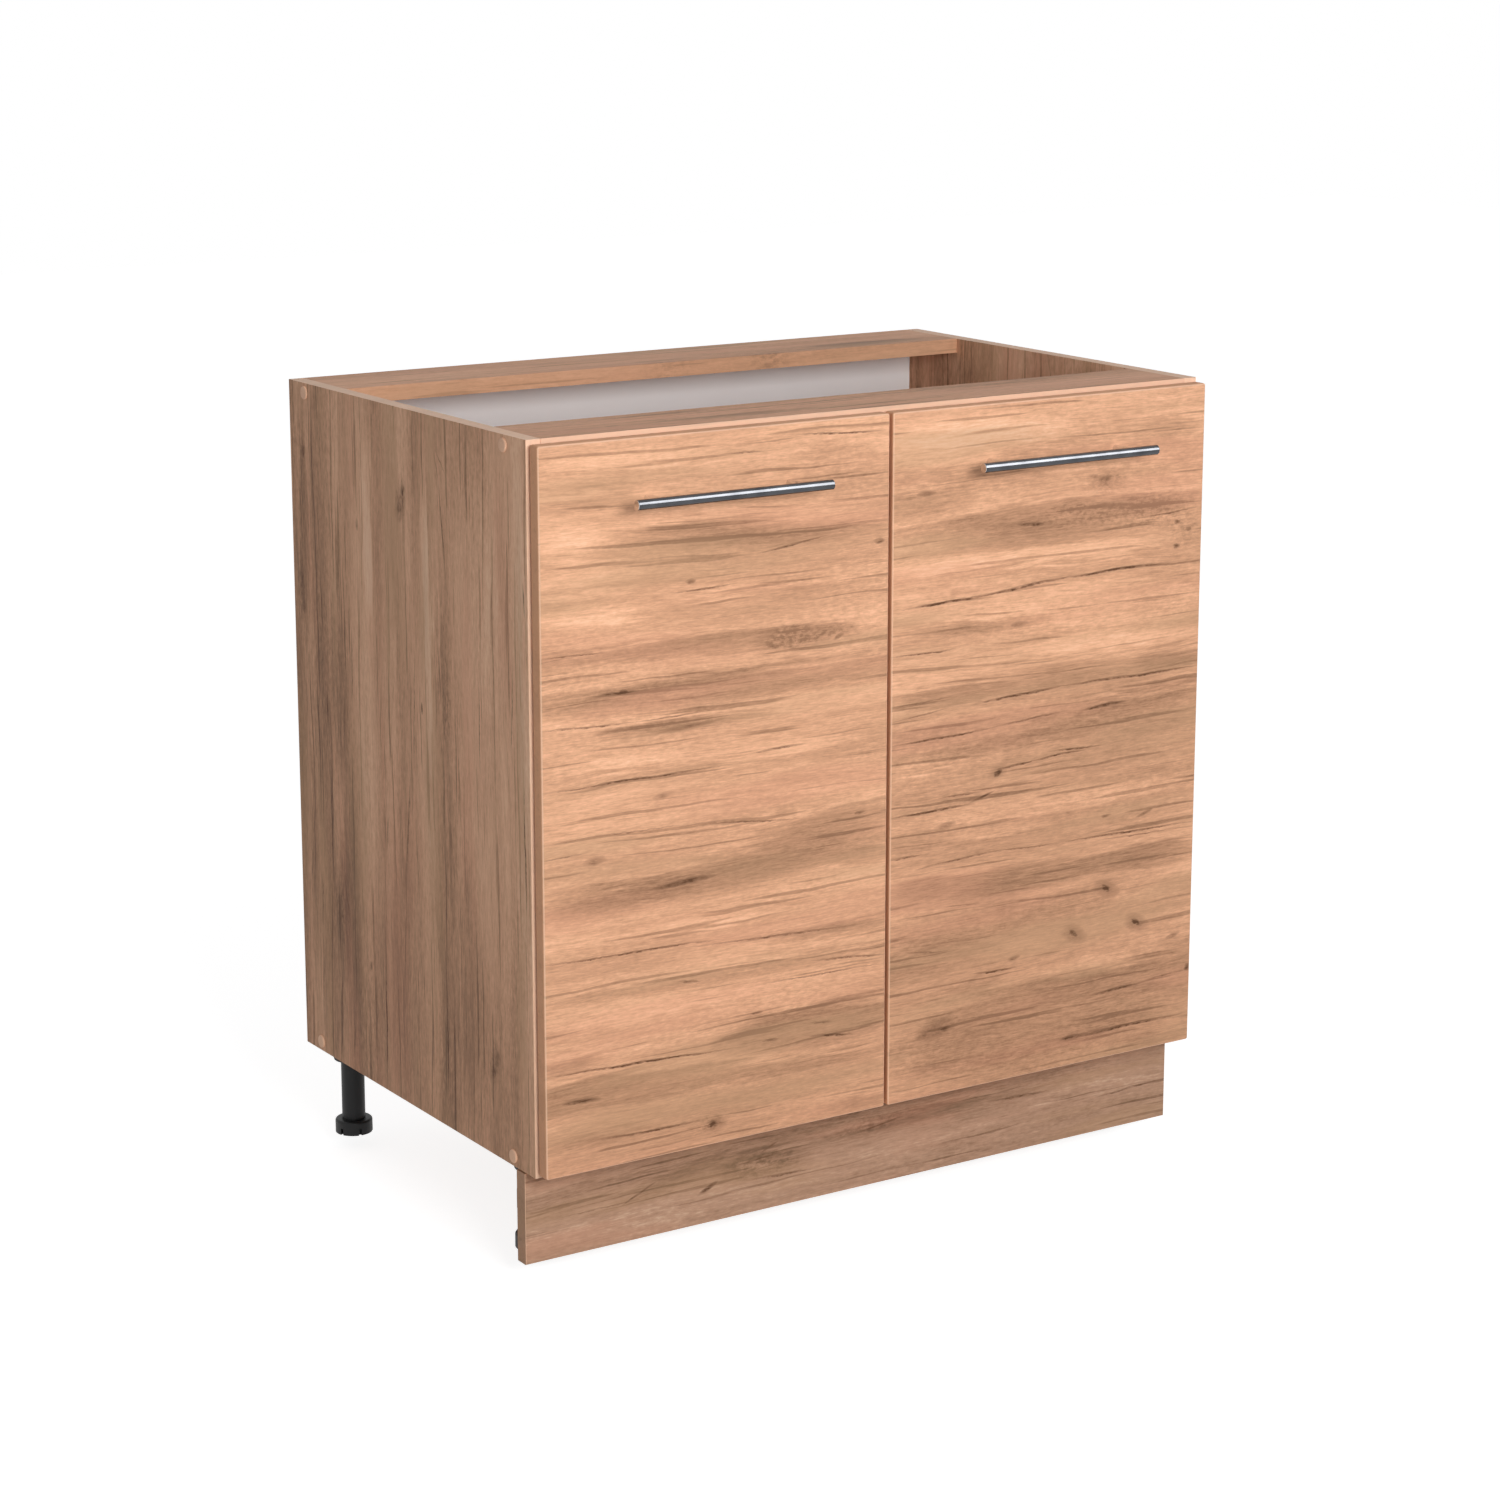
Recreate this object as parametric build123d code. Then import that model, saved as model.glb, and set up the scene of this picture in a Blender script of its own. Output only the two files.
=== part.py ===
from build123d import *
import math
import os

# Driving dimensions of the cabinet, in millimetres
width = 800.0
carcass_depth = 500.0
carcass_height = 720.0
leg_height = 100.0
board = 16.0
side_edge_radius = 0.8

# Doors and their gaps
door_thickness = 16.0
door_gap = 2.5
door_side_reveal = 2.0
door_top_reveal = 4.0
door_bottom_reveal = 3.0
door_middle_gap = 4.0
door_edge_radius = 2.5

# Handles
bar_radius = 5.0
bar_length = 220.0
post_spacing = 160.0
post_radius = 4.0
bar_stand_off = 29.5
bar_below_door_top = 58.5
bar_end_radius = 0.6
bar_flat = 0.8
spigot_radius = 2.4
spigot_length = 2.4
post_thread = 12.0
bolt_in_post = 11.0

# Rails, back panel and shelf
front_rail_width = 90.0
back_rail_width = 100.0
back_thickness = 3.2
back_inset = 8.0
groove_depth = 6.0
groove_clearance = 0.2
shelf_setback = 25.0
shelf_side_clearance = 1.0
shelf_pin_radius = 2.5
shelf_pin_length = 20.0
shelf_pin_seat = 9.0
shelf_pin_collar = 4.0
shelf_pin_inset = 60.0
shelf_hole_pitch = 32.0

# Carcass screws and their caps
screw_edge = 10.0
screw_front = 43.0
screw_back = 36.0
screw_radius = 3.2
screw_length = 48.0
screw_head_radius = 5.0
screw_head_height = 4.0
screw_head_sink = 0.4
screw_socket_radius = 2.4
cap_radius = 7.0
cap_height = 1.8
cap_stem_radius = 2.0
cap_stem_length = 2.6

# Legs
leg_side = 39.0
leg_front = 72.0
leg_back = 29.0
tube_radius = 12.5
socket_radius = 20.0
socket_height = 18.0
socket_edge_radius = 1.5
socket_flange_thickness = 4.0
socket_plug_radius = 9.0
socket_plug_length = 15.0
foot_radius = 20.0
foot_edge_radius = 2.5
foot_height = 15.0
foot_notches = 6
foot_notch_turn = 23.0
foot_notch_width = 3.0
foot_notch_depth = 3.0
foot_notch_height = 7.0
foot_stem_radius = 6.0
foot_stem_length = 45.0
leg_screw_circle = 15.5
leg_screw_head = 2.4

# Plinth and clips
plinth_setback = 21.5
plinth_thickness = 16.0
plinth_floor_gap = 4.0
plinth_top_gap = 2.0
plinth_edge_radius = 1.0
clip_height = 20.0
clip_middle = leg_height / 2
clip_wall = 3.0
clip_reach = 8.0
clip_wing = 30.0
clip_screw_offset = 24.0

# Hinges
pivot_from_edge = 7.5
cup_from_edge = 20.5
cup_bore_radius = 17.5
cup_wall = 1.0
cup_below_pivot = 4.5
flange_thickness = 1.0
flange_rim = 2.0
flange_ear = 30.0
cup_screw_height = 24.0
cup_screw_inset = 9.5
cup_screw_head = 1.0
ear_half = 5.4
ear_corner = 4.9
pin_radius = 1.5
eye_radius = 2.5
eye_half_width = 3.6
lug_thickness = 3.1
lug_half = 3.2
neck = 2.5
neck_from_panel = 7.0
arm_half_width = 7.0
arm_wall = 1.2
arm_web = 1.5
arm_start = 8.0
arm_end = 58.0
arm_nose_wall = 6.0
arm_nose_gap = 1.0
arm_screw_ahead = 10.0
arm_screw_behind = 12.0
arm_screw_end = 2.0
arm_hole_end = 1.0
plate_line = 37.0
plate_half_length = 20.0
plate_rib_height = 8.0
plate_base = 2.5
plate_wing = 23.0
plate_wing_half = 6.0
plate_corner = 4.0
plate_screw_height = 16.0
hinge_from_door_end = 100.0

# Clearances and small screws
clear = 0.3
run_clear = 0.05
small_screw_radius = 1.8
small_head_radius = 3.4
small_head_height = 1.6
small_screw_length = 11.0
bolt_radius = 2.0
bolt_head_radius = 4.0
bolt_head_height = 2.0

# Positions in the shared frame: floor at zero height, middle of the overall depth at zero
door_back_out = door_gap
door_front_out = door_gap + door_thickness
bar_out = door_front_out + bar_stand_off
overall_depth = carcass_depth + bar_out + bar_radius
front = bar_out + bar_radius - overall_depth / 2
rear = front + carcass_depth
bottom = leg_height
top = leg_height + carcass_height
half = width / 2
inner = half - board
door_back = front - door_back_out
door_front = front - door_front_out
door_low = bottom + door_bottom_reveal
door_high = top - door_top_reveal
door_outer = half - door_side_reveal
door_inner = door_middle_gap / 2
bar_y = front - bar_out
bar_z = door_high - bar_below_door_top
back_face = rear - back_inset
back_rear = back_face + back_thickness
front_leg_y = front + leg_front
back_leg_y = rear - leg_back
leg_x = half - leg_side
shelf_low = (bottom + top) / 2 - board / 2
pin_rows = (front + shelf_pin_inset, back_face - shelf_pin_inset)
pivot_x = door_outer - pivot_from_edge
pivot_y = door_back - door_thickness / 2
hinge_heights = (door_low + hinge_from_door_end, door_high - hinge_from_door_end)
arm_screw_front = front + plate_line - arm_screw_ahead
arm_screw_back = front + plate_line + arm_screw_behind
foot_points = {
    "front_left": (-leg_x, front_leg_y),
    "front_right": (leg_x, front_leg_y),
    "back_left": (-leg_x, back_leg_y),
    "back_right": (leg_x, back_leg_y),
}


def slab(x0, x1, y0, y1, z0, z1):
    """Box between two corners."""
    size = Box(x1 - x0, y1 - y0, z1 - z0)
    return Pos((x0 + x1) / 2, (y0 + y1) / 2, (z0 + z1) / 2) * size


def rod_x(x0, x1, y, z, r):
    """Cylinder along X."""
    return Pos((x0 + x1) / 2, y, z) * Rot(0, 90, 0) * Cylinder(r, abs(x1 - x0))


def rod_y(x, y0, y1, z, r):
    """Cylinder along Y."""
    return Pos(x, (y0 + y1) / 2, z) * Rot(90, 0, 0) * Cylinder(r, abs(y1 - y0))


def rod_z(x, y, z0, z1, r):
    """Cylinder along Z."""
    return Pos(x, y, (z0 + z1) / 2) * Cylinder(r, abs(z1 - z0))


def cut(body, tools):
    """Body with every tool taken away."""
    for tool in tools:
        body = body - tool
    return body


def right_of(shape):
    """Mirror image across the middle of the cabinet."""
    return mirror(shape, about=Plane.YZ)


def group(shapes):
    """Several like pieces as one node."""
    return Compound(children=list(shapes))


# Points shared by the carcass screws, as depth and height
screw_points = (
    (front + screw_front, top - screw_edge),
    (rear - screw_back, top - screw_edge),
    (front + screw_front, bottom + screw_edge),
    (rear - screw_back, bottom + screw_edge),
)


def carcass_screw(y, z):
    """Screw through the left side panel, with a round drive socket."""
    seat = -half + screw_head_sink
    head = rod_x(seat, seat + screw_head_height, y, z, screw_head_radius)
    shank = rod_x(seat + screw_head_height, seat + screw_length, y, z, screw_radius)
    socket = rod_x(seat, seat + cap_stem_length, y, z, screw_socket_radius)
    return head + shank - socket


def screw_cap(y, z):
    """Domed cap on the left side panel, its stem in the drive socket."""
    dome = rod_x(-half - cap_height, -half, y, z, cap_radius)
    dome = fillet(dome.edges().group_by(Axis.X)[0], cap_height * 0.85)
    stem = rod_x(-half, -half + cap_stem_length, y, z, cap_stem_radius)
    return dome + stem


def screw_holes(y, z):
    """Clearance for one carcass screw: shank all the way, counterbore for the head."""
    seat = -half + screw_head_sink
    shank = rod_x(-half, seat + screw_length + clear, y, z, screw_radius + clear)
    head = rod_x(-half, seat + screw_head_height, y, z, screw_head_radius + clear)
    return [shank, head]


# Back panel groove, shared by the sides, the bottom and the back rail
groove_front = back_face - groove_clearance
groove_rear = back_rear + groove_clearance
groove_side = slab(-inner - groove_depth, inner + groove_depth, groove_front, groove_rear, bottom, top)
panel_side = groove_depth - groove_clearance

# Left side panel
side_tools = [groove_side]
for y, z in screw_points:
    side_tools += screw_holes(y, z)
for y in pin_rows:
    for step in (-2, -1, 0, 1, 2):
        z = shelf_low - shelf_pin_radius + step * shelf_hole_pitch
        side_tools.append(rod_x(-inner - shelf_pin_seat - clear, -inner, y, z, shelf_pin_radius + clear))
plate_screw_points = []
for hinge_z in hinge_heights:
    for lift in (-plate_screw_height, plate_screw_height):
        plate_screw_points.append((front + plate_line, hinge_z + lift))
for y, z in plate_screw_points:
    depth = small_screw_length - plate_base + clear
    side_tools.append(rod_x(-inner - depth, -inner, y, z, small_screw_radius + clear))
left_side_panel = slab(-half, -inner, front, rear, bottom, top)
front_edges = left_side_panel.edges().filter_by(Axis.Z).group_by(Axis.Y)[0]
left_side_panel = cut(fillet(front_edges, side_edge_radius), side_tools)

# Bottom panel
leg_screw_turns = (45, 135, 225, 315)
leg_screw_points = []
for x, y in foot_points.values():
    for turn in leg_screw_turns:
        dx = leg_screw_circle * math.cos(math.radians(turn))
        dy = leg_screw_circle * math.sin(math.radians(turn))
        leg_screw_points.append((x + dx, y + dy))
board_tools = []
for y, z in screw_points:
    for tool in screw_holes(y, z):
        board_tools += [tool, right_of(tool)]
bottom_tools = list(board_tools)
for x, y in leg_screw_points:
    depth = small_screw_length - socket_flange_thickness + clear
    bottom_tools.append(rod_z(x, y, bottom, bottom + depth, small_screw_radius + clear))
bottom_groove = slab(-inner, inner, groove_front, groove_rear, bottom + board - groove_depth, top)
bottom_panel = slab(-inner, inner, front, rear, bottom, bottom + board)
bottom_panel = cut(bottom_panel, bottom_tools + [bottom_groove])

# Top rails
front_top_rail = cut(slab(-inner, inner, front, front + front_rail_width, top - board, top), board_tools)
rail_groove = slab(-inner, inner, groove_front, groove_rear, bottom, top - board + groove_depth)
back_top_rail = slab(-inner, inner, rear - back_rail_width, rear, top - board, top)
back_top_rail = cut(back_top_rail, board_tools + [rail_groove])

# Back panel, standing in the bottom groove
back_panel = slab(
    -inner - panel_side,
    inner + panel_side,
    back_face,
    back_rear,
    bottom + board - groove_depth,
    top - board + panel_side,
)

# Shelf on four pins
shelf = slab(
    -inner + shelf_side_clearance,
    inner - shelf_side_clearance,
    front + shelf_setback,
    back_face - shelf_side_clearance,
    shelf_low,
    shelf_low + board,
)
left_pins = []
for y in pin_rows:
    z = shelf_low - shelf_pin_radius
    end = -inner - shelf_pin_seat
    collar = rod_x(-inner, -inner + shelf_side_clearance - clear, y, z, shelf_pin_collar)
    left_pins.append(rod_x(end, end + shelf_pin_length, y, z, shelf_pin_radius) + collar)
shelf_pins = group(left_pins + [right_of(pin) for pin in left_pins])

# Carcass screws and caps
left_screws = [carcass_screw(y, z) for y, z in screw_points]
left_caps = [screw_cap(y, z) for y, z in screw_points]
carcass_screws = group(left_screws + [right_of(screw) for screw in left_screws])
screw_caps = group(left_caps + [right_of(cap) for cap in left_caps])


def leg_socket(x, y):
    """Collar under the bottom panel, its screws sunk in it, with a plug that goes into the leg tube."""
    low = bottom - socket_height
    seat = bottom - socket_flange_thickness
    body = rod_z(x, y, low, bottom, socket_radius)
    body = fillet(body.edges().group_by(Axis.Z)[0], socket_edge_radius)
    body = body + rod_z(x, y, low - socket_plug_length, low, socket_plug_radius)
    for turn in leg_screw_turns:
        dx = leg_screw_circle * math.cos(math.radians(turn))
        dy = leg_screw_circle * math.sin(math.radians(turn))
        body = body - rod_z(x + dx, y + dy, low, seat, leg_screw_head + clear)
        body = body - rod_z(x + dx, y + dy, seat, bottom, small_screw_radius + clear)
    return body


def leg_tube(x, y):
    """Plain tube between the collar and the foot, wider inside where the plug sits."""
    low = foot_height
    high = bottom - socket_height
    body = rod_z(x, y, low, high, tube_radius)
    body = body - rod_z(x, y, low, high, foot_stem_radius + clear)
    return body - rod_z(x, y, high - socket_plug_length - clear, high, socket_plug_radius + clear)


def leg_foot(x, y):
    """Round foot with notches in the lower part of its rim and a stem that runs in the tube."""
    body = rod_z(0, 0, 0, foot_height, foot_radius)
    body = fillet(body.edges().group_by(Axis.Z)[-1], foot_edge_radius)
    inner_r = foot_radius - foot_notch_depth
    half_notch = foot_notch_width / 2
    for i in range(foot_notches):
        notch = slab(inner_r, foot_radius * 2, -half_notch, half_notch, 0, foot_notch_height)
        body = body - Rot(0, 0, foot_notch_turn + 360 / foot_notches * i) * notch
    body = body + rod_z(0, 0, foot_height, foot_height + foot_stem_length, foot_stem_radius)
    return Pos(x, y, 0) * body


def leg_screw(x, y):
    """Small screw up through the top of the leg's collar."""
    low = bottom - socket_flange_thickness
    head = rod_z(x, y, low - small_head_height, low, leg_screw_head)
    return head + rod_z(x, y, low, low + small_screw_length, small_screw_radius)


# Plinth with two clips that slide onto the front leg tubes
plinth_front = front + plinth_setback
plinth_rear = plinth_front + plinth_thickness
clip_low = clip_middle - clip_height / 2
clip_high = clip_middle + clip_height / 2
clip_screw_points = []
for x in (-leg_x, leg_x):
    for dx in (-clip_screw_offset, clip_screw_offset):
        clip_screw_points.append((x + dx, clip_middle))
plinth_panel = slab(-half, half, plinth_front, plinth_rear, plinth_floor_gap, bottom - plinth_top_gap)
plinth_panel = fillet(plinth_panel.edges().group_by(Axis.Y)[0], plinth_edge_radius)
for x, z in clip_screw_points:
    depth = small_screw_length - clip_wall + clear
    plinth_panel = plinth_panel - rod_y(x, plinth_rear - depth, plinth_rear, z, small_screw_radius + clear)


def plinth_clip(x):
    """Forked clip: wings screwed to the plinth, jaws beside the leg tube."""
    jaw = tube_radius + clear
    reach = front_leg_y + clip_reach
    seat = front_leg_y - jaw - clip_wall
    body = slab(x - jaw - clip_wall, x + jaw + clip_wall, plinth_rear, reach, clip_low, clip_high)
    hollow = slab(x - jaw, x + jaw, plinth_rear + clip_wall, seat, clip_low, clip_high)
    mouth = slab(x - jaw, x + jaw, front_leg_y, reach, clip_low, clip_high)
    body = body - hollow - mouth - rod_z(x, front_leg_y, clip_low, clip_high, jaw)
    wing_rear = plinth_rear + clip_wall
    body = body + slab(x - clip_wing, x + clip_wing, plinth_rear, wing_rear, clip_low, clip_high)
    for dx in (-clip_screw_offset, clip_screw_offset):
        hole = rod_y(x + dx, plinth_rear, plinth_rear + clip_wall, clip_middle, small_screw_radius + clear)
        body = body - hole
    return body


def clip_screw(x, z):
    """Small screw through a clip wing into the plinth."""
    seat = plinth_rear + clip_wall
    head = rod_y(x, seat, seat + small_head_height, z, small_head_radius)
    return head + rod_y(x, seat - small_screw_length, seat, z, small_screw_radius)


# Hinge cup and everything in the door follows the pivot line
cup_x = door_outer - cup_from_edge
cup_bore_depth = door_thickness / 2 + cup_below_pivot
cup_radius = cup_bore_radius - clear
cup_low = door_back - cup_bore_depth + clear
cup_floor = cup_low + cup_wall
ear_x = cup_x - cup_screw_inset
lug_gap = eye_half_width + clear


def hinge_cup(z):
    """Left cup with its flange and two lugs that hold the pin."""
    x = -cup_x
    body = rod_y(x, cup_low, door_back, z, cup_radius)
    rim = rod_y(x, door_back, door_back + flange_thickness, z, cup_radius + flange_rim)
    ears = slab(
        -ear_x - ear_half,
        -ear_x + ear_half,
        door_back,
        door_back + flange_thickness,
        z - flange_ear,
        z + flange_ear,
    )
    ears = fillet(ears.edges().filter_by(Axis.Y), ear_corner)
    edge_cut = slab(-half, x - cup_radius - clear, door_back, front, z - flange_ear, z + flange_ear)
    body = body + rim + ears - edge_cut
    well = rod_y(x, cup_floor, front, z, cup_radius - cup_wall)
    body = body - well
    for side in (-1, 1):
        low = z + side * lug_gap
        high = z + side * (lug_gap + lug_thickness)
        lug = slab(
            -pivot_x - lug_half,
            -pivot_x + lug_half,
            cup_floor - cup_wall / 2,
            pivot_y + eye_radius,
            min(low, high),
            max(low, high),
        )
        body = body + (lug & rod_y(x, cup_low, front, z, cup_radius - cup_wall / 2))
        screw = rod_y(-ear_x, door_back, front, z + side * cup_screw_height, small_screw_radius + clear)
        body = body - screw
    reach = lug_gap + lug_thickness
    return body - rod_z(-pivot_x, pivot_y, z - reach, z + reach, pin_radius + run_clear)


def hinge_pin(z):
    """Left hinge pin between the two lugs."""
    reach = lug_gap + lug_thickness
    return rod_z(-pivot_x, pivot_y, z - reach, z + reach, pin_radius)


def cup_screw(z):
    """Small screw that holds an ear of the left cup."""
    seat = door_back + flange_thickness
    head = rod_y(-ear_x, seat, seat + cup_screw_head, z, small_head_radius)
    return head + rod_y(-ear_x, seat - small_screw_length, seat, z, small_screw_radius)


def hinge_plate(z):
    """Left mounting plate: base with wings and a raised rib for the arm."""
    mid = front + plate_line
    rib_half = arm_half_width - arm_wall - clear
    base = slab(
        -inner,
        -inner + plate_base,
        mid - plate_half_length,
        mid + plate_half_length,
        z - rib_half,
        z + rib_half,
    )
    wings = slab(
        -inner,
        -inner + plate_base,
        mid - plate_wing_half,
        mid + plate_wing_half,
        z - plate_wing,
        z + plate_wing,
    )
    wings = fillet(wings.edges().filter_by(Axis.X), plate_corner)
    rib = slab(
        -inner,
        -inner + plate_rib_height,
        mid - plate_half_length,
        mid + plate_half_length,
        z - rib_half,
        z + rib_half,
    )
    body = base + wings + rib
    for lift in (-plate_screw_height, plate_screw_height):
        body = body - rod_x(-inner, -inner + plate_base, mid, z + lift, small_screw_radius + clear)
    for y in (arm_screw_front, arm_screw_back):
        body = body - rod_x(-inner + arm_hole_end, -inner + plate_rib_height, y, z, bolt_radius + clear)
    return body


def hinge_arm(z):
    """Left arm: eye on the pin, curved neck out of the cup, channel over the plate."""
    left = -inner
    neck_x = left + neck_from_panel
    eye = rod_z(-pivot_x, pivot_y, z - eye_half_width, z + eye_half_width, eye_radius)
    reach = slab(
        -pivot_x,
        neck_x + neck / 2,
        pivot_y - neck / 2,
        pivot_y + neck / 2,
        z - eye_half_width,
        z + eye_half_width,
    )
    rise = slab(
        neck_x - neck / 2,
        neck_x + neck / 2,
        pivot_y - neck / 2,
        front + arm_start + neck,
        z - eye_half_width,
        z + eye_half_width,
    )
    bend = reach + rise
    outer = bend.edges().filter_by(Axis.Z).group_by(Axis.X)[-1].sort_by(Axis.Y)[0]
    bend = fillet(outer, neck * 0.9)
    high = left + plate_rib_height
    web = slab(
        high,
        high + arm_web,
        front + arm_start,
        front + arm_end,
        z - arm_half_width,
        z + arm_half_width,
    )
    nose = slab(
        neck_x - neck / 2,
        high + arm_web,
        front + arm_start,
        front + plate_line - plate_half_length - arm_nose_gap,
        z - arm_half_width,
        z + arm_half_width,
    )
    body = eye + bend + web + nose
    for side in (-1, 1):
        outside = z + side * arm_half_width
        inside = z + side * (arm_half_width - arm_wall)
        body = body + slab(
            left + plate_base + clear,
            high + arm_web,
            front + arm_start + arm_nose_wall,
            front + arm_end,
            min(outside, inside),
            max(outside, inside),
        )
    for y in (arm_screw_front, arm_screw_back):
        body = body - rod_x(high, high + arm_web, y, z, bolt_radius + clear)
    return body - rod_z(-pivot_x, pivot_y, z - eye_half_width, z + eye_half_width, pin_radius + run_clear)


def plate_screw(y, z):
    """Small screw through a wing of the left plate."""
    seat = -inner + plate_base
    head = rod_x(seat, seat + small_head_height, y, z, small_head_radius)
    return head + rod_x(seat - small_screw_length, seat, y, z, small_screw_radius)


def arm_screw(y, z):
    """Setting screw of the left arm."""
    seat = -inner + plate_rib_height + arm_web
    head = rod_x(seat, seat + bolt_head_height, y, z, bolt_head_radius)
    return head + rod_x(-inner + arm_screw_end, seat, y, z, bolt_radius)


# Left door with its cup bores and screw holes
left_door = slab(-door_outer, -door_inner, door_front, door_back, door_low, door_high)
left_door = fillet(left_door.edges(), door_edge_radius)
door_middle = -(door_outer + door_inner) / 2
post_points = (door_middle - post_spacing / 2, door_middle + post_spacing / 2)
for z in hinge_heights:
    left_door = left_door - rod_y(-cup_x, door_back - cup_bore_depth, door_back, z, cup_bore_radius)
    for side in (-1, 1):
        depth = small_screw_length - flange_thickness + clear
        hole_z = z + side * cup_screw_height
        hole = rod_y(-ear_x, door_back - depth, door_back, hole_z, small_screw_radius + clear)
        left_door = left_door - hole
for x in post_points:
    left_door = left_door - rod_y(x, door_front, door_back, bar_z, bolt_radius + clear)

# Left handle: bar with flats for the posts, posts, screws from inside the door
post_seat = bar_y + bar_radius - bar_flat
left_bar = rod_x(door_middle - bar_length / 2, door_middle + bar_length / 2, bar_y, bar_z, bar_radius)
left_bar = fillet(left_bar.edges(), bar_end_radius)
left_posts = []
left_handle_bolts = []
for x in post_points:
    left_bar = left_bar - rod_y(x, post_seat, bar_y + bar_radius + 1, bar_z, post_radius + clear)
    left_bar = left_bar - rod_y(x, post_seat - spigot_length - clear, post_seat, bar_z, spigot_radius + clear)
    post = rod_y(x, post_seat, door_front, bar_z, post_radius)
    post = post + rod_y(x, post_seat - spigot_length, post_seat, bar_z, spigot_radius)
    post = post - rod_y(x, door_front - post_thread, door_front, bar_z, bolt_radius + clear)
    left_posts.append(post)
    bolt = rod_y(x, door_front - bolt_in_post, door_back, bar_z, bolt_radius)
    bolt = bolt + rod_y(x, door_back, door_back + bolt_head_height, bar_z, bolt_head_radius)
    left_handle_bolts.append(bolt)

# Hinge pieces of the left side
left_plate_screws = [plate_screw(y, z) for y, z in plate_screw_points]
left_arm_screws = []
left_cup_screws = []
for z in hinge_heights:
    for y in (arm_screw_front, arm_screw_back):
        left_arm_screws.append(arm_screw(y, z))
    for side in (-1, 1):
        left_cup_screws.append(cup_screw(z + side * cup_screw_height))
left_hinge_pins = [hinge_pin(z) for z in hinge_heights]

# Every node by name
nodes = {
    "left_side_panel": left_side_panel,
    "right_side_panel": right_of(left_side_panel),
    "bottom_panel": bottom_panel,
    "front_top_rail": front_top_rail,
    "back_top_rail": back_top_rail,
    "back_panel": back_panel,
    "shelf": shelf,
    "shelf_pins": shelf_pins,
    "carcass_screws": carcass_screws,
    "screw_caps": screw_caps,
    "leg_screws": group(leg_screw(x, y) for x, y in leg_screw_points),
    "plinth_panel": plinth_panel,
    "plinth_clip_left": plinth_clip(-leg_x),
    "plinth_clip_right": plinth_clip(leg_x),
    "plinth_clip_screws": group(clip_screw(x, z) for x, z in clip_screw_points),
    "hinge_plate_screws": group(left_plate_screws + [right_of(s) for s in left_plate_screws]),
    "hinge_arm_screws": group(left_arm_screws + [right_of(s) for s in left_arm_screws]),
}
for name, (x, y) in foot_points.items():
    nodes["leg_socket_" + name] = leg_socket(x, y)
    nodes["leg_tube_" + name] = leg_tube(x, y)
    nodes["foot_" + name] = leg_foot(x, y)
for level, z in zip(("lower", "upper"), hinge_heights):
    for label, maker in (("cup", hinge_cup), ("arm", hinge_arm), ("plate", hinge_plate)):
        piece = maker(z)
        nodes["hinge_" + label + "_left_" + level] = piece
        nodes["hinge_" + label + "_right_" + level] = right_of(piece)
door_pieces = {
    "door": left_door,
    "handle_bar": left_bar,
    "handle_posts": group(left_posts),
    "handle_screws": group(left_handle_bolts),
    "hinge_pins": group(left_hinge_pins),
    "cup_screws": group(left_cup_screws),
}
for label, piece in door_pieces.items():
    nodes["left_" + label] = piece
    nodes["right_" + label] = right_of(piece)

# One file per node
os.makedirs("parts", exist_ok=True)
for name, shape in nodes.items():
    export_step(shape, "parts/" + name + ".step")
print(len(nodes), "nodes")
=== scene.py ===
import math

import bpy
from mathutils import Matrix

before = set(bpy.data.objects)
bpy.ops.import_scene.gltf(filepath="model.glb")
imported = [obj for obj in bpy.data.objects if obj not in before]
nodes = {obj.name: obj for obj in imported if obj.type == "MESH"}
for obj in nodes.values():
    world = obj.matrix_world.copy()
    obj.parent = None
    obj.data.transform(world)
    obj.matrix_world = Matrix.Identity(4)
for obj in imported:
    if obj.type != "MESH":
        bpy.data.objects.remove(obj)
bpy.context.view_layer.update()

# Marks in the oak, in millimetres: place along and across the grain, half length, half width, rise, darkness.
left_door_bands = (
    (-300, 796, 110, 14, 0.0, -0.24),
    (-64, 766, 80, 28, 0.0, 0.18),
    (-350, 757, 70, 11, 0.0, 0.28),
    (-365, 720, 50, 20, 0.0, -0.24),
    (-175, 714, 170, 18, -0.050, 0.38),
    (-350, 684, 80, 16, 0.0, -0.22),
    (-343, 652, 75, 12, 0.0, -0.22),
    (-130, 641, 200, 20, 0.0, 0.24),
    (-240, 612, 230, 12, -0.015, 0.34),
    (-100, 607, 70, 18, 0.0, 0.30),
    (-190, 566, 320, 21, -0.010, 0.50),
    (-235, 535, 110, 10, 0.0, 0.42),
    (-305, 505, 90, 10, 0.0, -0.24),
    (-150, 495, 130, 11, 0.0, -0.26),
    (-150, 441, 120, 13, 0.0, 0.16),
    (-70, 412, 110, 22, 0.020, 0.34),
    (-150, 382, 185, 24, 0.053, 0.42),
    (-320, 373, 100, 18, 0.040, 0.38),
    (-25, 372, 55, 12, 0.0, 0.26),
    (-210, 335, 90, 10, 0.0, -0.24),
    (-60, 303, 100, 9, -0.040, 0.36),
    (-200, 276, 250, 9, -0.010, 0.26),
    (-280, 255, 150, 14, -0.030, -0.14),
    (-375, 214, 45, 11, 0.0, 0.36),
    (-90, 203, 130, 26, -0.030, 0.46),
    # A broad, faint band: the door is darker towards the bottom.
    (-200, 180, 320, 120, 0.0, 0.14),
    (-320, 180, 170, 20, -0.030, 0.55),
    (-160, 170, 170, 11, -0.040, 0.36),
    (-340, 135, 80, 9, 0.0, 0.22),
    (-30, 114, 60, 10, 0.0, 0.26),
)
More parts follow.
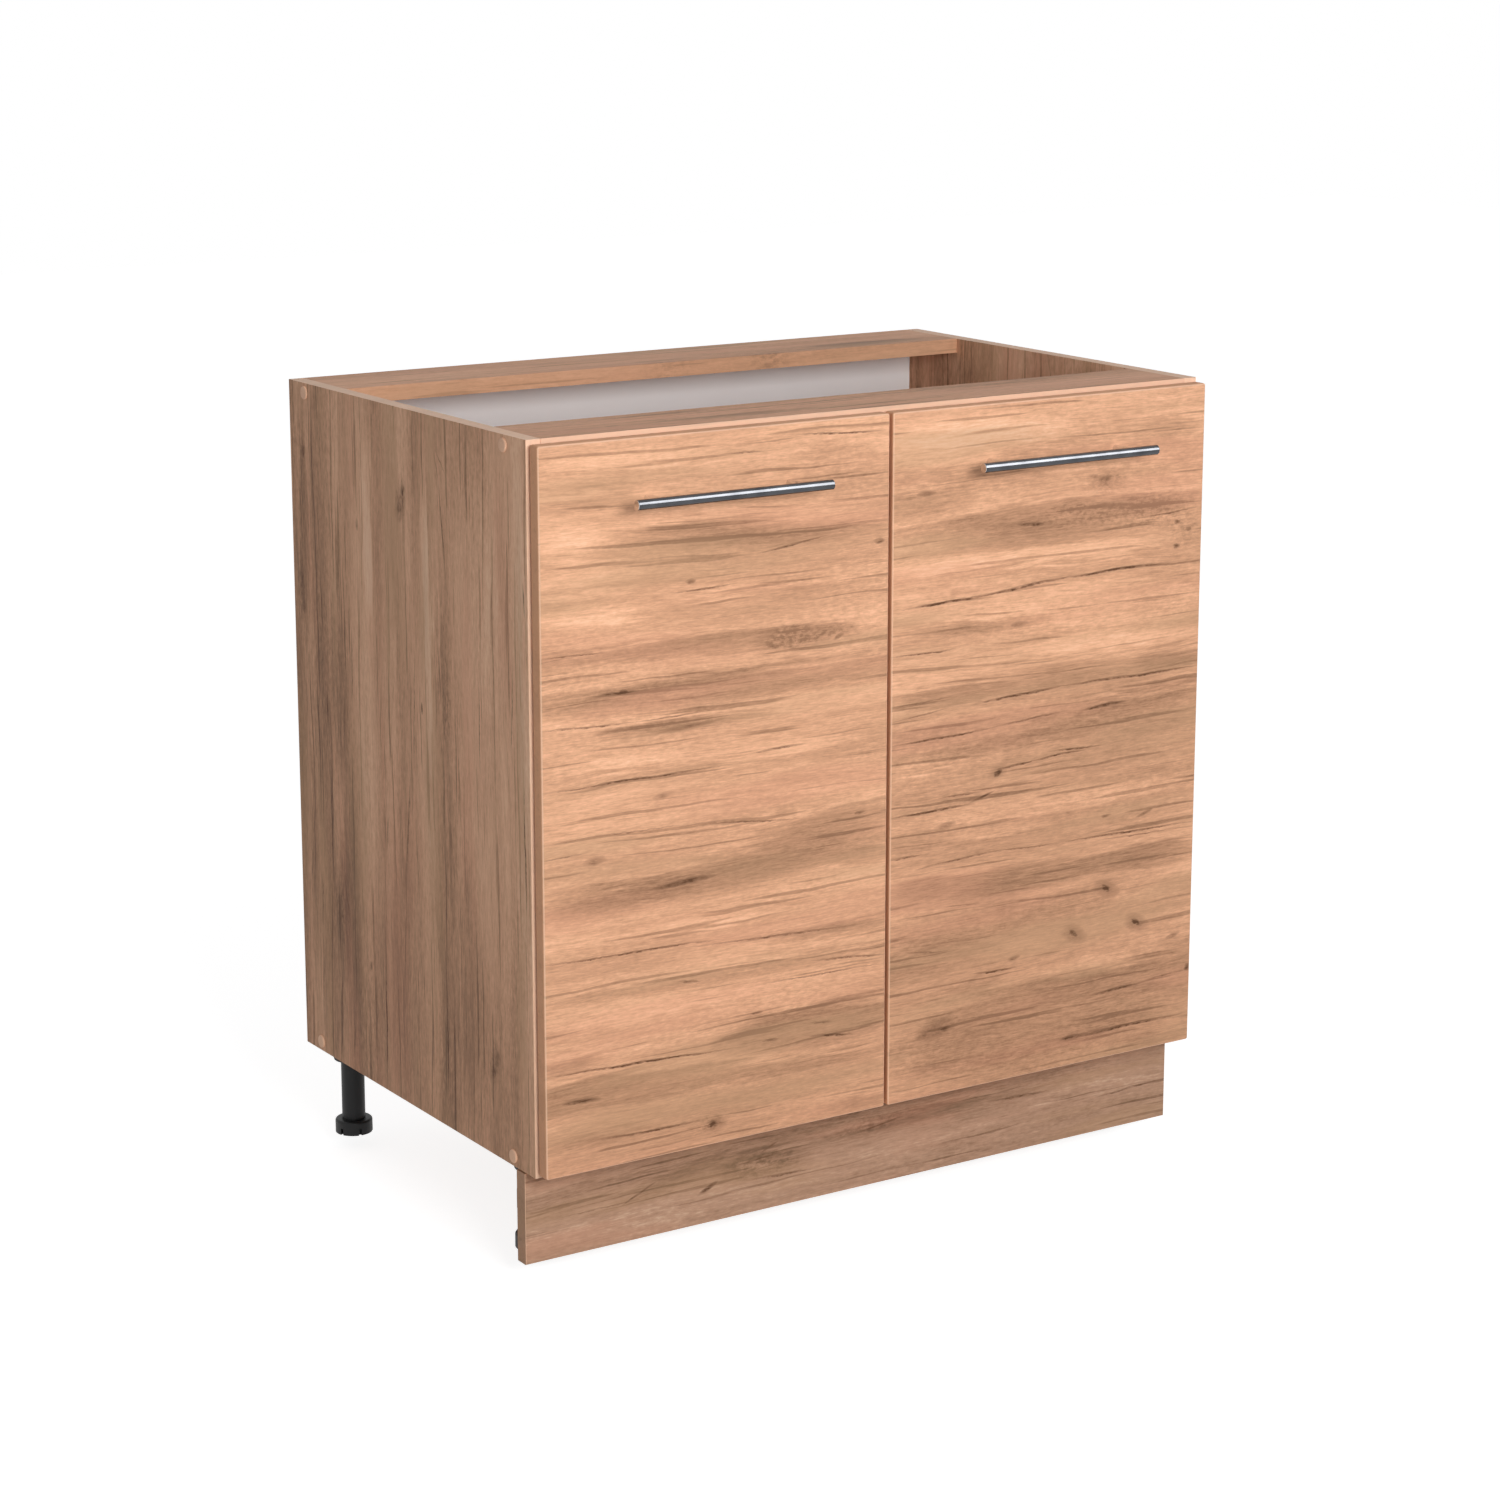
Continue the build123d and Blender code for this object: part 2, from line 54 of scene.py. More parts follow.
left_door_cracks = (
    (-58, 801.5, 56, 1.4, -0.030, 0.8),
    (-172, 791, 28, 1.1, -0.040, 0.6),
    (-116, 697.5, 44, 1.4, 0.120, 0.7),
    (-216, 664, 40, 1.4, 0.030, 0.7),
    (-233, 673, 7, 3.0, 0.0, 0.7),
    (-363, 615.5, 40, 1.2, -0.015, 0.7),
    (-346, 545, 58, 1.3, -0.040, 0.7),
    (-252, 543.5, 46, 1.1, 0.010, 0.6),
    (-292, 487.5, 112, 1.4, 0.005, 0.8),
    (-130, 497, 34, 1.5, 0.035, 0.7),
    (-313, 574, 24, 1.6, 0.0, 0.8),
    (-308, 574.5, 5, 3.2, 0.0, 0.9),
    (-238, 531.5, 38, 3.2, 0.045, 0.5),
    (-141, 600, 9, 3.2, -0.400, 0.5),
    (-61, 601, 7, 3.0, 0.400, 0.4),
    (-14, 691, 8, 3.4, 0.0, 0.7),
    (-300, 316, 110, 1.4, -0.028, 0.8),
    (-130, 306, 110, 1.6, -0.046, 0.6),
    (-45, 269, 52, 1.4, -0.100, 0.7),
    (-80, 257.5, 78, 1.1, -0.020, 0.6),
    (-236, 276.5, 14, 1.7, -0.150, 0.6),
    (-290, 203, 118, 1.6, -0.040, 0.9),
    (-358, 176, 24, 2.8, -0.050, 0.9),
    (-281, 132, 66, 1.8, -0.033, 0.8),
    (-209, 124, 6, 4.4, 0.0, 0.9),
    (-205, 124, 14, 8.0, 0.0, 0.3),
    (-141, 199.5, 11, 2.0, 0.0, 0.7),
    (-67, 191.5, 30, 1.8, -0.130, 0.8),
    (-80, 207, 14, 1.4, -0.090, 0.6),
    (-158, 230, 8, 2.2, 0.0, 0.6),
    (-243, 377.5, 42, 3.4, 0.045, 0.9),
    (-341, 413, 14, 5.0, 0.100, 0.5),
    (-375, 422, 28, 1.0, 0.0, 0.5),
    (-310, 436.5, 90, 1.0, -0.020, 0.5),
    (-160, 427, 62, 1.0, -0.100, 0.6),
    (-36, 418, 7, 1.8, 0.0, 0.7),
    (-266, 467, 12, 4.0, 0.100, 0.4),
)
left_door_burls = (
    (-118, 605, 34, 14, -0.050, 1.0),
    (-70, 604, 34, 9, 0.0, 0.7),
    (-214, 124, 26, 12, 0.0, 0.6),
)
right_door_bands = (
    (90, 782, 150, 30, 0.0, -0.40),
    (350, 775, 50, 16, 0.0, 0.20),
    (250, 745, 120, 14, -0.020, -0.18),
    (45, 724, 70, 18, 0.0, 0.30),
    (320, 697, 95, 13, 0.0, 0.20),
    (190, 694, 230, 18, 0.0, 0.46),
    (176, 688, 55, 13, -0.050, 0.30),
    (150, 674, 180, 11, 0.0, 0.28),
    (80, 656, 100, 10, 0.0, -0.20),
    (240, 655, 150, 11, 0.0, -0.30),
    (330, 610, 90, 12, 0.0, 0.14),
    (125, 592, 90, 10, 0.030, 0.28),
    (60, 590, 90, 16, 0.0, 0.12),
    (230, 557, 170, 12, 0.0, -0.26),
    (190, 526, 270, 16, 0.0, 0.20),
    (364, 530, 60, 16, 0.0, 0.34),
    (78, 525, 90, 12, 0.030, 0.32),
    (330, 493, 100, 11, 0.0, 0.32),
    (254, 478, 150, 14, 0.030, 0.10),
    (130, 468, 160, 8, 0.030, 0.14),
    (30, 456, 40, 10, 0.0, -0.24),
    # A broad, faint band: with the one at 190 below, the door is darker from its middle down.
    (200, 420, 320, 140, 0.0, 0.26),
    (190, 397, 200, 15, 0.0, -0.30),
    (130, 376, 90, 9, 0.0, -0.24),
    (30, 326, 45, 20, 0.0, 0.18),
    (330, 320, 110, 14, -0.030, 0.42),
    (130, 322, 150, 18, -0.020, 0.24),
    (210, 303, 70, 14, 0.0, -0.18),
    (310, 270, 100, 30, 0.0, -0.08),
    (60, 250, 90, 26, 0.0, 0.12),
    (250, 213, 150, 13, 0.0, -0.26),
    # A broad, faint band: the door is darker towards the bottom.
    (200, 190, 320, 150, 0.0, 0.28),
    (210, 160, 240, 50, 0.0, 0.24),
    (150, 134, 160, 9, 0.0, 0.26),
    (350, 113, 70, 10, 0.0, 0.24),
)
right_door_cracks = (
    (43, 733, 12, 3.2, 0.0, 0.6),
    (268, 727, 10, 3.6, 0.100, 0.35),
    (268, 726, 20, 10.0, 0.0, 0.25),
    (252, 731, 7, 2.4, 0.0, 0.4),
    (176, 689, 24, 2.6, -0.100, 0.8),
    (364, 649, 5, 3.0, 0.0, 0.8),
    (379, 665, 5, 3.0, 0.0, 0.7),
    (364, 674, 5, 3.0, 0.0, 0.7),
    (352, 684, 44, 1.3, 0.050, 0.6),
    (70, 620, 58, 1.9, 0.039, 0.9),
    (168, 626, 62, 1.9, 0.080, 0.8),
    (285, 631, 80, 1.8, 0.014, 0.9),
    (42, 571, 44, 1.4, 0.0, 0.8),
    (160, 588, 12, 3.4, 0.0, 0.5),
    (163, 513.5, 62, 1.8, 0.047, 0.9),
    (303, 516, 98, 1.9, 0.0, 0.8),
    (273, 489, 34, 2.0, 0.035, 0.9),
    (68, 482, 72, 1.5, 0.030, 0.8),
    (174, 486.5, 50, 1.3, 0.060, 0.7),
    (39, 521, 44, 1.1, 0.026, 0.5),
    (37, 508, 42, 1.1, 0.080, 0.5),
    (236, 447.5, 40, 1.5, -0.015, 0.7),
    (136, 436, 6, 4.6, 0.300, 1.0),
    (136, 437, 14, 8.0, 0.200, 0.3),
    (160, 441, 24, 1.7, 0.057, 0.8),
    (212, 443.5, 42, 1.4, 0.043, 0.7),
    (53, 406.5, 56, 1.9, 0.015, 0.9),
    (116, 412.5, 18, 1.7, 0.250, 0.7),
    (88, 418, 30, 1.3, 0.0, 0.6),
    (72, 389, 13, 4.0, 0.100, 0.6),
    (21, 362.5, 22, 1.4, 0.030, 0.8),
    (86, 351, 56, 1.4, 0.042, 0.7),
    (174, 351.5, 48, 1.2, -0.036, 0.6),
    (306, 348.5, 98, 1.5, -0.017, 0.8),
    (329, 343.5, 74, 1.0, -0.022, 0.5),
    (278, 370, 8, 2.2, 0.0, 0.5),
    (330, 365.5, 13, 2.4, 0.260, 0.6),
    (280, 291, 6, 4.0, -0.500, 0.75),
    (281, 290, 18, 12.0, -0.300, 0.4),
    (322, 247, 6, 4.0, -0.500, 0.75),
    (323, 246, 18, 12.0, -0.300, 0.4),
    (238, 248, 6, 4.0, -0.500, 0.75),
    (239, 247, 18, 12.0, -0.300, 0.4),
    (372, 224, 10, 3.2, 0.200, 0.6),
    (138, 225, 30, 1.5, -0.040, 0.8),
    (160, 234, 10, 3.0, 0.100, 0.5),
    (394, 185, 5, 5.0, 0.0, 0.8),
    (366, 181, 30, 1.1, 0.038, 0.6),
    (296, 177, 40, 2.0, 0.030, 0.8),
    (47, 259, 25, 1.1, -0.140, 0.5),
    (93, 301.5, 25, 1.1, -0.070, 0.5),
    (62, 175, 28, 12.0, 0.150, 0.42),
    (74, 173, 7, 3.5, 0.150, 0.3),
    (44, 170, 8, 3.0, 0.150, 0.4),
    (309, 134, 96, 2.2, 0.005, 0.8),
    (237, 134, 16, 4.0, 0.050, 0.7),
)
right_door_burls = (
    (268, 722, 36, 15, 0.0, 0.7),
    (232, 694, 62, 17, -0.050, 0.6),
    (330, 690, 74, 25, 0.030, 0.7),
    (372, 664, 26, 22, 0.0, 0.6),
    (62, 175, 34, 14, 0.150, 0.5),
)
side_bands = (
    (690, 250, 160, 14, 0.0, 0.40),
    (689, 105, 110, 16, 0.0, -0.30),
    (660, -125, 200, 50, 0.0, -0.24),
    (630, -21.5, 190, 9, 0.0, -0.28),
    (600, -58.5, 160, 13, 0.0, 0.18),
    (510, 180, 110, 24, 0.0, 0.30),
    (460, -215, 600, 30, 0.0, -0.26),
    (460, 155, 560, 24, 0.0, 0.28),
    (460, 215, 600, 22, 0.0, 0.22),
    (460, 270, 600, 14, 0.0, 0.24),
    (400, -18, 420, 22, 0.0, -0.24),
    (400, -62, 100, 15, 0.0, 0.16),
    (400, 60, 400, 22, 0.0, -0.22),
    (330, 245, 160, 12, 0.0, 0.30),
    (276, 180, 90, 26, 0.0, 0.18),
    (250, -106, 170, 34, 0.0, 0.24),
    (240, 60, 150, 14, -0.040, 0.26),
    (190, 20, 240, 330, 0.0, 0.16),
)
side_cracks = (
    (727, 30, 24, 13.0, -0.250, 0.30),
    (738, 26, 7, 4.5, -0.200, 0.38),
    (720, 33, 6, 5.5, 0.0, 0.38),
    (749, 247, 8, 6.0, -0.200, 0.6),
    (610, 257, 34, 5.0, 0.080, 0.35),
    (582, 253, 8, 5.0, 0.0, 0.45),
    (777, -54, 12, 1.4, 0.900, 0.5),
    (772, -46, 16, 1.2, 0.300, 0.4),
    (710, -56, 54, 1.6, 0.120, 0.7),
    (524, -6.5, 7, 1.7, 0.0, 1.0),
    (484, 205, 24, 2.2, 0.0, 0.8),
    (511, 10.5, 70, 1.2, -0.045, 0.7),
    (561, -46, 30, 1.5, 0.060, 0.7),
    (537, 147, 46, 1.8, -0.030, 0.5),
    (689, 127, 7, 3.0, 0.0, 0.6),
    (479, 166, 32, 1.3, -0.050, 0.6),
    (526, -125, 54, 1.1, 0.0, 0.6),
    (557, -190, 50, 1.4, -0.050, 0.5),
    (667, -215, 18, 1.8, 0.100, 0.6),
    (482, 84.5, 58, 1.1, -0.050, 0.5),
    (392, 28, 70, 1.8, -0.130, 0.7),
    (278, 39.5, 54, 1.3, -0.060, 0.6),
    (178, 86, 80, 1.9, -0.020, 0.9),
    (226, -48, 92, 1.5, -0.005, 0.7),
    (180, -47, 50, 1.4, 0.0, 0.7),
    (193, -147, 24, 12.0, -0.250, 0.30),
    (203, -151, 7, 5.0, -0.200, 0.38),
    (186, -144, 6, 5.0, 0.0, 0.42),
    (405, -62, 20, 3.2, 0.060, 0.4),
    (269, 188, 24, 3.4, 0.080, 0.32),
    (285, 170, 30, 2.0, 0.200, 0.35),
    (430, -212, 70, 1.4, 0.010, 0.9),
    (380, 74, 20, 1.6, -0.090, 0.6),
    (226, 118, 6, 2.6, 0.0, 0.7),
    (173, 232, 46, 1.6, -0.050, 0.6),
    (134, 161, 20, 2.6, -0.170, 0.6),
    (272, 229, 32, 1.4, -0.050, 0.6),
)
side_burls = (
    (727, 30, 28, 13, -0.200, 0.8),
    (603, 257, 38, 12, 0.0, 0.5),
    (749, 250, 18, 9, 0.0, 0.4),
    (535, -60, 46, 13, 0.0, 0.5),
    (276, 180, 46, 18, 0.0, 0.42),
    (193, -147, 25, 12, -0.200, 0.7),
)
plinth_bands = (
    (-128, 51, 30, 7, -0.060, -0.40),
    (-128, 51, 70, 20, -0.050, 0.36),
    (-250, 52, 90, 14, 0.200, 0.30),
    (60, 66, 120, 12, 0.020, 0.26),
    (300, 56, 110, 14, 0.0, -0.20),
)
plinth_cracks = (
    (-100, 37, 42, 1.6, -0.050, 0.7),
    (-128, 60, 34, 1.2, 0.060, 0.5),
    (-116, 70, 12, 1.6, 0.400, 0.6),
    (-190, 41, 14, 3.0, 0.430, 0.8),
    (-270, 52, 22, 1.6, 0.430, 0.6),
    (-320, 45, 56, 1.1, 0.010, 0.5),
    (200, 64, 44, 1.8, -0.050, 0.8),
    (350, 45, 46, 1.6, 0.040, 0.8),
    (20, 67, 32, 1.3, 0.140, 0.6),
)
plinth_burls = (
    (-128, 52, 52, 17, -0.050, 0.9),
    (20, 70, 60, 10, 0.050, 0.6),
)
front_rail_bands = (
    (-150, -190, 110, 10, 0.0, 0.34),
    (120, -150, 180, 8, 0.0, 0.25),
)
front_rail_cracks = (
    (-288, -192, 9, 2.2, 0.0, 0.7),
    (-120, -200, 40, 1.6, 0.0, 0.5),
)
back_rail_bands = (
    (278, 200, 90, 14, 0.0, 0.34),
    (250, 240, 140, 16, 0.0, 0.25),
)
back_rail_burls = (
    (130, 178, 28, 10, 0.0, 0.9),
    (0, 178, 40, 6, 0.0, 0.6),
)

# The five colours of each oak, from its darkest tone to its palest, and where they lie on the scale of tone.
door_oak = ((150, 112, 86), (186, 141, 110), (212, 161, 127), (238, 184, 147), (248, 202, 167))
side_oak = ((126, 95, 74), (176, 135, 107), (212, 165, 133), (236, 189, 155), (248, 208, 176))
plinth_oak = ((104, 81, 63), (139, 108, 86), (166, 131, 107), (185, 148, 123), (204, 171, 145))
board_oak = ((134, 96, 70), (178, 131, 98), (210, 157, 122), (230, 177, 141), (242, 195, 160))
tone_stops = (0.0, 0.3, 0.55, 0.8, 1.0)
middle_tone = 0.6
deepest_band = 0.4

# The casts the oak drifts to, the brown of its cracks, and a painted highlight: the pale line where a board rounds
# over.
red_cast = (220, 156, 128)
dull_cast = (184, 147, 113)
crack_brown = (98, 68, 49)
painted_edge_highlight = (252, 210, 178)

# The edge band of each kind of board: how far it covers the print, and its colour.
pale_edge = (0.7, (255, 218, 190))
door_edge = (0.75, (222, 166, 128))
rail_edge = (0.4, (224, 176, 142))
plinth_edge = (0.6, (188, 148, 118))

# How far along each axis the noise of one seed lies from that of the next.
seed_steps = (3.17, 7.31, 5.53)

millimetres_per_metre = 1000


def tint(red, green, blue):
    """A colour as a paint card gives it, 0 to 255 a channel, turned into the linear light that shaders use."""
    channels = (c / 255 for c in (red, green, blue))
    return tuple(c / 12.92 if c <= 0.04045 else ((c + 0.055) / 1.055) ** 2.4 for c in channels) + (1.0,)


class Wire:
    """One value on its way through a finish: arithmetic on it adds Math nodes."""

    def __init__(self, finish, socket):
        self.finish = finish
        self.socket = socket

    def output(self, name):
        return Wire(self.finish, self.socket.node.outputs[name])

    def math(self, operation, *others, clamp=False):
        settings = {"operation": operation, "use_clamp": clamp}
        return self.finish.node("ShaderNodeMath", settings, dict(enumerate((self, *others))))

    def __add__(self, other):
        return self.math("ADD", other)

    def __sub__(self, other):
        return self.math("SUBTRACT", other)

    def __rsub__(self, other):
        return self.math("MULTIPLY_ADD", -1.0, other)

    def __mul__(self, other):
        return self.math("MULTIPLY", other)

    def __abs__(self):
        return self.math("ABSOLUTE")

    __radd__ = __add__
    __rmul__ = __mul__

    def above(self, low, high):
        """0 below low, 1 above high and a smooth rise between."""
        settings = {"interpolation_type": "SMOOTHSTEP"}
        return self.finish.node("ShaderNodeMapRange", settings, {0: self, 1: low, 2: high})

    def kept(self):
        """The value held between 0 and 1."""
        return self.math("ADD", 0.0, clamp=True)


class Finish:
    """A material or the surroundings, built node by node."""

    def __init__(self, owner):
        owner.use_nodes = True
        self.owner = owner
        self.tree = owner.node_tree
        self.tree.nodes.clear()

    def node(self, kind, settings=None, sockets=None, output=0):
        """Adds a node: its settings first, then the values or links of its sockets. Gives back one output."""
        made = self.tree.nodes.new(kind)
        for key, value in (settings or {}).items():
            if key == "stops":
                stops = made.color_ramp.elements
                while len(stops) < len(value):
                    stops.new(1.0)
                for stop, (place, colour) in zip(stops, value):
                    stop.position = place
                    stop.color = colour
            else:
                setattr(made, key, value)
        for key, value in (sockets or {}).items():
            if isinstance(value, Wire):
                self.tree.links.new(value.socket, made.inputs[key])
            else:
                made.inputs[key].default_value = value
        return Wire(self, made.outputs[output]) if len(made.outputs) else None

    def noise(self, place, stretch, seed, detail=2.0, rough=0.5):
        """Smooth noise about 0, with stretch waves to a metre along each axis."""
        shift = tuple(seed * step for step in seed_steps)
        spot = self.node("ShaderNodeVectorMath", {"operation": "MULTIPLY_ADD"}, {0: place, 1: stretch, 2: shift})
        sockets = {"Vector": spot, "Scale": 1.0, "Detail": detail, "Roughness": rough}
        return self.node("ShaderNodeTexNoise", {}, sockets) - 0.5

    def blend(self, amount, first, second):
        """first where amount is 0, second where it is 1, both colours."""
        return self.node("ShaderNodeMix", {"data_type": "RGBA"}, {0: amount, 6: first, 7: second}, output=2)

    def surface(self, colour, roughness, height, depth, **fixed):
        """Ends the material: a Principled shader with a bump of that depth in metres and any fixed sockets."""
        bump = self.node("ShaderNodeBump", {}, {"Strength": 1.0, "Distance": depth, "Height": height})
        sockets = {"Base Color": colour, "Roughness": roughness, "Normal": bump}
        sockets.update(fixed)
        shader = self.node("ShaderNodeBsdfPrincipled", {}, sockets)
        self.node("ShaderNodeOutputMaterial", {}, {"Surface": shader})
        return self.owner


def marks(along, across, rows):
    """The sum of lens-shaped marks: each is 1 - u*u - v*v, never below 0, times how dark it is,
    where u runs along the mark in half lengths and v across it in half widths."""
    total = 0.0
    for x, z, length, width, rise, dark in rows:
        u = along.math("MULTIPLY_ADD", millimetres_per_metre / length, -x / length)
        lean = along.math("MULTIPLY_ADD", -millimetres_per_metre * rise / width, (rise * x - z) / width)
        v = across.math("MULTIPLY_ADD", millimetres_per_metre / width, lean)
        off = v.math("MULTIPLY_ADD", v, u * u)
        spot = off.math("MULTIPLY_ADD", -1.0, 1.0, clamp=True)
        total = spot.math("MULTIPLY_ADD", dark, total)
    return total


def oak(name, order, face, seed, colours, edge, bands=(), cracks=(), burls=(), contrast=1.0):
    """Printed oak on a board. The point is taken as (along the grain, across it, through the board), and the
    second is made to sway. Tone is the middle tone plus broad bands, streaks and fibres, which are noises
    stretched along the grain, less hairlines, the crests of one more such noise, and less the placed bands, whose
    rims the streaks fray. The hue drifts between redder and duller. Cracks and knots are placed, and frayed by
    the fibres. Inside the placed burls the tone is mottled by a noise that is stretched only a little.
    The board's edges, where the surface doesn't face the way the board does, are the edge band, blended over the
    print, with a painted highlight, a paler line, where they round over."""
    finish = Finish(bpy.data.materials.new(name))
    place = finish.node("ShaderNodeTexCoord", output="Object")
    axes = finish.node("ShaderNodeSeparateXYZ", {}, {0: place})
    along, across, through = (axes.output(letter) for letter in order)
    straight = finish.node("ShaderNodeCombineXYZ", {}, {0: along, 1: across, 2: through})
    sway = finish.noise(straight, (1.8, 7.0, 7.0), seed, 1.0)
    ripple = finish.noise(straight, (16.0, 30.0, 30.0), seed + 1, 1.0)
    wander = finish.noise(straight, (120.0, 240.0, 240.0), seed + 8, 3.0, 0.6)
    flow = across + (sway * 0.024 + ripple * 0.004)
    board = finish.node("ShaderNodeCombineXYZ", {}, {0: along, 1: flow, 2: through})
    band = finish.noise(board, (1.7, 15.0, 15.0), seed + 2, 2.0)
    streak = finish.noise(board, (9.0, 130.0, 130.0), seed + 3, 3.0, 0.6)
    fibre = finish.noise(board, (48.0, 520.0, 520.0), seed + 4, 2.0, 0.65)
    pore = finish.noise(board, (170.0, 1300.0, 1300.0), seed + 5, 1.0)
    patch = finish.noise(board, (5.0, 15.0, 15.0), seed + 6, 1.0)
    hue = finish.noise(board, (2.5, 22.0, 22.0), seed + 7, 2.0)
    hair = finish.noise(board, (5.0, 190.0, 190.0), seed + 9, 1.0).above(0.12, 0.2)
    tone = band * (0.95 * contrast) + streak * (0.5 * contrast) + (fibre * 0.55 + pore * 0.3) + middle_tone
    tone = tone + wander * (patch + 0.3) * 1.1 - hair * 0.28
    if bands:
        frayed = across + (sway * 0.012 + streak * 0.035)
        tone = tone - marks(along, frayed, bands).math("MINIMUM", deepest_band)
    dark = hair * 0.15
    if cracks:
        broken = fibre * 1.8 + wander * 3.2 + 1.1
        dark = dark + marks(along + wander * 0.008, across + (ripple * 0.004 + wander * 0.003), cracks) * broken
    if burls:
        mottle = finish.noise(straight, (150.0, 260.0, 260.0), seed + 10, 3.0, 0.6)
        burl = marks(along + wander * 0.02, across + wander * 0.012, burls)
        tone = tone + burl * (mottle * 2.0 - 0.14)
        dark = dark + burl * mottle.above(0.06, 0.22) * 0.5
    stops = [(spot, tint(*colour)) for spot, colour in zip(tone_stops, colours)]
    print_colour = finish.node("ShaderNodeValToRGB", {"stops": stops}, {0: tone})
    redder = finish.blend(hue.above(0.02, 0.2) * 0.22, print_colour, tint(*red_cast))
    duller = finish.blend(hue.above(-0.02, -0.2) * 0.4, redder, tint(*dull_cast))
    cracked = finish.blend((dark * 0.85).kept(), duller, tint(*crack_brown))
    edge_cover, edge_colour = edge
    facing = finish.node("ShaderNodeSeparateXYZ", {}, {0: place.output("Normal")}).output(face)
    slope = 1.0 - abs(facing)
    banded = finish.blend(slope.above(0.3, 0.7) * edge_cover, cracked, tint(*edge_colour))
    # Painted highlight: a pale line blended into the colour where the edge rounds over.
    edge_highlight_mask = slope.above(0.02, 0.2) * slope.above(0.6, 0.35) * 0.6
    board_colour = finish.blend(edge_highlight_mask, banded, tint(*painted_edge_highlight))
    roughness = streak * 0.16 + fibre * 0.14 + 0.5
    height = fibre + pore * 0.6
    return finish.surface(board_colour, roughness, height, 0.0001, **{"Specular IOR Level": 0.06})


def moulded(name, colour, grain, roughness, gloss):
    """Moulded plastic: one colour that drifts a little in brightness, over a fine spark-eroded grain."""
    finish = Finish(bpy.data.materials.new(name))
    place = finish.node("ShaderNodeTexCoord", output="Object")
    drift = finish.noise(place, (14.0, 14.0, 14.0), 2, 2.0)
    speck = finish.noise(place, (grain, grain, grain), 3, 2.0)
    lighter = tint(*(min(255, c * 1.08 + 5) for c in colour))
    darker = tint(*(c * 0.88 for c in colour))
    shade = finish.blend((drift * 1.6 + speck * 0.8 + 0.5).kept(), darker, lighter)
    worn = drift * 0.2 + speck * 0.2 + roughness
    return finish.surface(shade, worn, speck, 0.00008, **{"Specular IOR Level": gloss})


def plated(name, colour, roughness, brush, stretch, end_highlight=0.0):
    """Plated metal: fine brush lines along one axis and faint clouding in the plating. What faces along x, at
    either end of a bar, gets a painted highlight: a pale colour blended in by the given amount."""
    finish = Finish(bpy.data.materials.new(name))
    place = finish.node("ShaderNodeTexCoord", output="Object")
    cloud = finish.noise(place, (45.0, 45.0, 45.0), 4, 3.0)
    line = finish.noise(place, stretch, 5, 2.0)
    lighter = tint(*(min(255, c + 14) for c in colour))
    darker = tint(*(c - 18 for c in colour))
    shade = finish.blend((cloud * 1.4 + line * 0.6 + 0.5).kept(), darker, lighter)
    # Painted highlight at either end of a bar, where the surface faces along x.
    if end_highlight:
        sideways = finish.node("ShaderNodeSeparateXYZ", {}, {0: place.output("Normal")}).output("X")
        shade = finish.blend(abs(sideways).above(0.4, 0.8) * end_highlight, shade, tint(232, 230, 228))
    return finish.surface(shade, cloud * 0.2 + line * 0.15 + roughness, line, brush, Metallic=1.0)


def fibre_board():
    """Thin fibreboard: grey-white lacquer on the face that looks into the cabinet, bare brown fibre on the other."""
    finish = Finish(bpy.data.materials.new("fibre_board"))
    place = finish.node("ShaderNodeTexCoord", output="Object")
    cloud = finish.noise(place, (9.0, 9.0, 9.0), 6, 3.0)
    felt = finish.noise(place, (420.0, 420.0, 420.0), 7, 3.0, 0.7)
    lacquer = finish.blend((cloud * 1.2 + felt * 0.3 + 0.5).kept(), tint(242, 240, 240), tint(251, 250, 250))
    bare = finish.blend((cloud * 0.8 + felt * 1.8 + 0.5).kept(), tint(112, 84, 60), tint(158, 126, 96))
    away = finish.node("ShaderNodeSeparateXYZ", {}, {0: place.output("Normal")}).output("Y")
    shade = finish.blend(away.above(-0.6, -0.2), lacquer, bare)
    return finish.surface(shade, felt * 0.2 + cloud * 0.1 + 0.56, felt, 0.0001)


